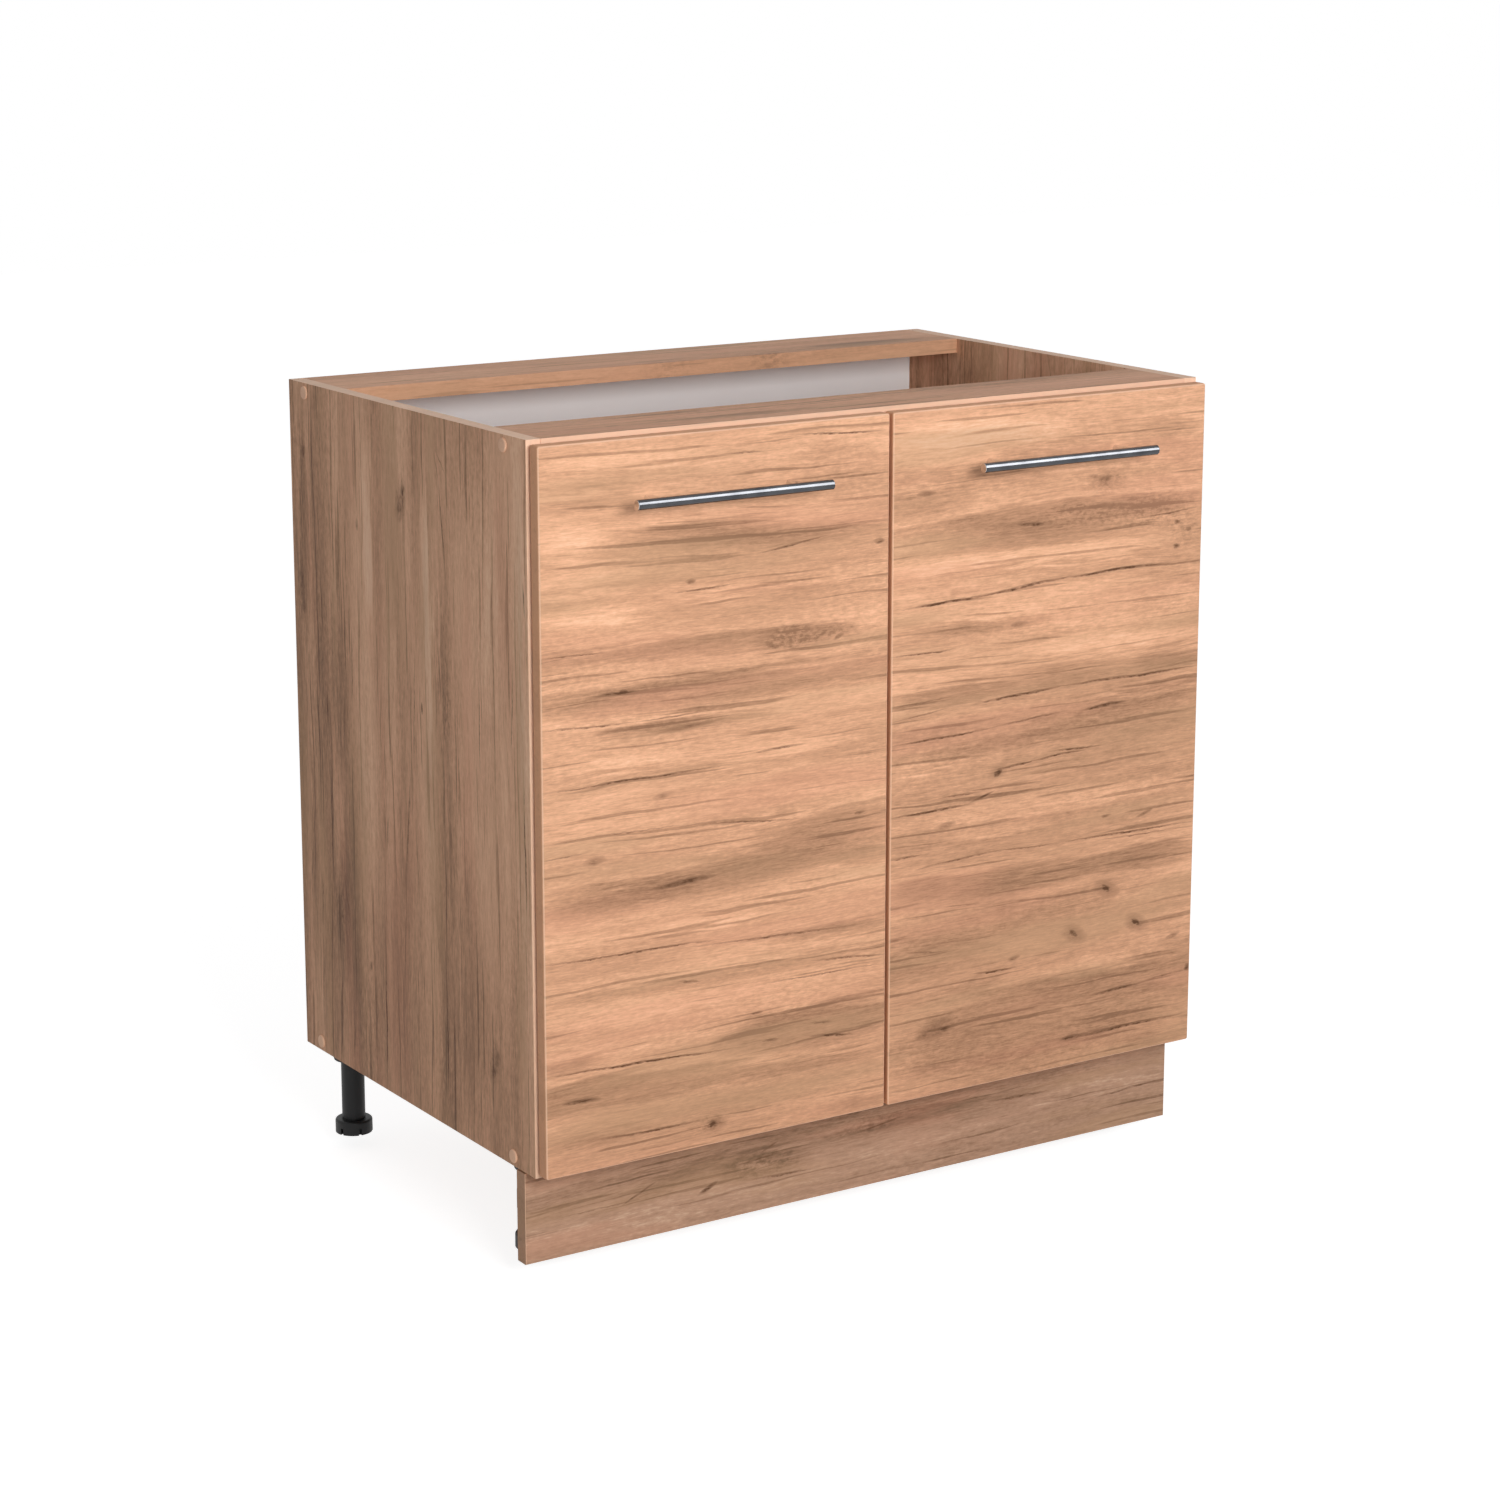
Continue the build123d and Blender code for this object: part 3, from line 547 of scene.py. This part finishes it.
finishes = {
    ("left_door",): oak(
        "left_door_oak", "XZY", "Y", seed=11, colours=door_oak, edge=door_edge,
        bands=left_door_bands, cracks=left_door_cracks, burls=left_door_burls, contrast=0.9,
    ),
    ("right_door",): oak(
        "right_door_oak", "XZY", "Y", seed=31, colours=door_oak, edge=door_edge,
        bands=right_door_bands, cracks=right_door_cracks, burls=right_door_burls, contrast=0.9,
    ),
    ("plinth_panel",): oak(
        "plinth_oak", "XZY", "Y", seed=52, colours=plinth_oak, edge=plinth_edge,
        bands=plinth_bands, cracks=plinth_cracks, burls=plinth_burls,
    ),
    ("left_side_panel",): oak(
        "left_side_oak", "ZYX", "X", seed=73, colours=side_oak, edge=pale_edge,
        bands=side_bands, cracks=side_cracks, burls=side_burls, contrast=0.9,
    ),
    ("right_side_panel",): oak(
        "right_side_oak", "ZYX", "X", seed=95, colours=side_oak, edge=pale_edge,
        bands=side_bands, cracks=side_cracks, burls=side_burls, contrast=0.9,
    ),
    ("front_top_rail",): oak(
        "front_rail_oak", "XYZ", "Z", seed=141, colours=board_oak, edge=pale_edge,
        bands=front_rail_bands, cracks=front_rail_cracks,
    ),
    ("back_top_rail",): oak(
        "back_rail_oak", "XYZ", "Z", seed=163, colours=board_oak, edge=rail_edge,
        bands=back_rail_bands, burls=back_rail_burls,
    ),
    ("bottom_panel", "shelf"): oak("board_oak", "XYZ", "Z", seed=117, colours=board_oak, edge=pale_edge),
    ("back_panel",): fibre_board(),
    ("screw_caps",): moulded("cap_plastic", (248, 192, 160), grain=900.0, roughness=0.4, gloss=0.06),
    # Chrome whose colour is painted dark: a painted dark reflection that stands in for dark surroundings mirrored in
    # the bar; the posts keep bright chrome.
    ("left_handle_bar", "right_handle_bar"): plated(
        "bar_chrome_painted_dark", (80, 81, 84), roughness=0.16, brush=0.00001, stretch=(30.0, 1500.0, 1500.0), end_highlight=0.8
    ),
    ("left_handle_posts", "right_handle_posts"): plated(
        "post_chrome", (228, 226, 225), roughness=0.1, brush=0.00001, stretch=(900.0, 40.0, 900.0)
    ),
}
black = moulded("black_plastic", (18, 18, 19), grain=1300.0, roughness=0.5, gloss=0.3)
zinc = plated("zinc_plate", (176, 176, 174), roughness=0.34, brush=0.00003, stretch=(700.0, 700.0, 60.0))
black_pieces = ("leg_socket", "leg_tube", "foot_", "plinth_clip_left", "plinth_clip_right")


def dress(name, finish):
    """Gives a CAD node that one finish."""
    slots = nodes[name].data.materials
    slots.clear()
    slots.append(finish)


for names, finish in finishes.items():
    for name in names:
        dress(name, finish)
dressed = {name for names in finishes for name in names}
for name in nodes:
    if name not in dressed:
        dress(name, black if name.startswith(black_pieces) else zinc)


# Linear greys of the room and the floor, and the glow that lifts the floor to white.
white = (1, 1, 1, 1)
paper_grey = (0.82, 0.82, 0.82, 1)
shadow_grey = (0.5, 0.5, 0.5, 1)
room_grey = (0.34, 0.34, 0.345, 1)
floor_glow = 0.84


def seen(finish):
    """1 for what the camera sees, straight or mirrored or through something, and 0 for light on its way round."""
    path = finish.node("ShaderNodeLightPath", output="Is Camera Ray")
    return path.math("MAXIMUM", path.output("Is Glossy Ray").math("MAXIMUM", path.output("Is Transmission Ray")))


def white_floor(reach, level):
    """A square of floor at that level, its sides that far from the middle: it throws light back as pale paper
    does, and reads as white with the shadow left in it."""
    mesh = bpy.data.meshes.new("floor")
    corners = [(x * reach, y * reach, level) for x, y in ((-1, -1), (1, -1), (1, 1), (-1, 1))]
    mesh.from_pydata(corners, [], [(0, 1, 2, 3)])
    floor = bpy.data.objects.new("floor", mesh)
    bpy.context.scene.collection.objects.link(floor)
    finish = Finish(bpy.data.materials.new("floor_paper"))
    paper = finish.node("ShaderNodeBsdfDiffuse", {}, {"Color": paper_grey})
    shadow = finish.node("ShaderNodeBsdfDiffuse", {}, {"Color": shadow_grey})
    glow = finish.node("ShaderNodeEmission", {}, {"Color": white, "Strength": floor_glow})
    bright = finish.node("ShaderNodeAddShader", {}, {0: shadow, 1: glow})
    mixed = finish.node("ShaderNodeMixShader", {}, {0: seen(finish), 1: paper, 2: bright})
    finish.node("ShaderNodeOutputMaterial", {}, {"Surface": mixed})
    mesh.materials.append(finish.owner)
    return floor


# The floor lies just under the feet at their lowest, so that a foot screwed out doesn't sink into it.
foot_travel = 0.015
white_floor(9.0, -foot_travel - 0.0005)

surroundings = bpy.data.worlds.new("studio")
bpy.context.scene.world = surroundings
studio = Finish(surroundings)
ambient = studio.blend(seen(studio), room_grey, white)
background = studio.node("ShaderNodeBackground", {}, {"Color": ambient, "Strength": 1.0})
studio.node("ShaderNodeOutputWorld", {}, {"Surface": background})


def soft_light(name, place, aim, width, height, power, mirrored_only=False):
    """A flat soft light of that width and height in metres, turned to face a point. One that is mirrored only
    is a bright card: metal shows it, and it throws no light on the boards."""
    lamp = bpy.data.lights.new(name, "AREA")
    lamp.shape = "RECTANGLE"
    lamp.size = width
    lamp.size_y = height
    lamp.energy = power
    box = bpy.data.objects.new(name, lamp)
    box.location = place
    dx, dy, dz = (a - p for a, p in zip(aim, place))
    box.rotation_euler = (math.atan2(math.hypot(dx, dy), -dz), 0, math.atan2(-dx, dy))
    box.visible_diffuse = not mirrored_only
    bpy.context.scene.collection.objects.link(box)


soft_light("key", place=(-0.45, -3.2, 1.55), aim=(0, 0, 0.5), width=1.7, height=1.0, power=67)
soft_light(
    "card", place=(1.82, -2.37, 2.29), aim=(0, -0.27, 0.76), width=1.7, height=2.4, power=130, mirrored_only=True
)

# How far the camera looks down and is turned to the right, in degrees.
look_down = 12.457
turn_right = 32.897
lens = bpy.data.cameras.new("camera")
lens.sensor_width = 36
lens.lens = 84.866
lens.shift_y = -0.05
camera = bpy.data.objects.new("camera", lens)
camera.location = (-1.9798, -3.0468, 1.3115)
camera.rotation_euler = (math.radians(90 - look_down), 0, math.radians(-turn_right))
bpy.context.scene.collection.objects.link(camera)
bpy.context.scene.camera = camera
bpy.context.scene.view_settings.view_transform = "Standard"
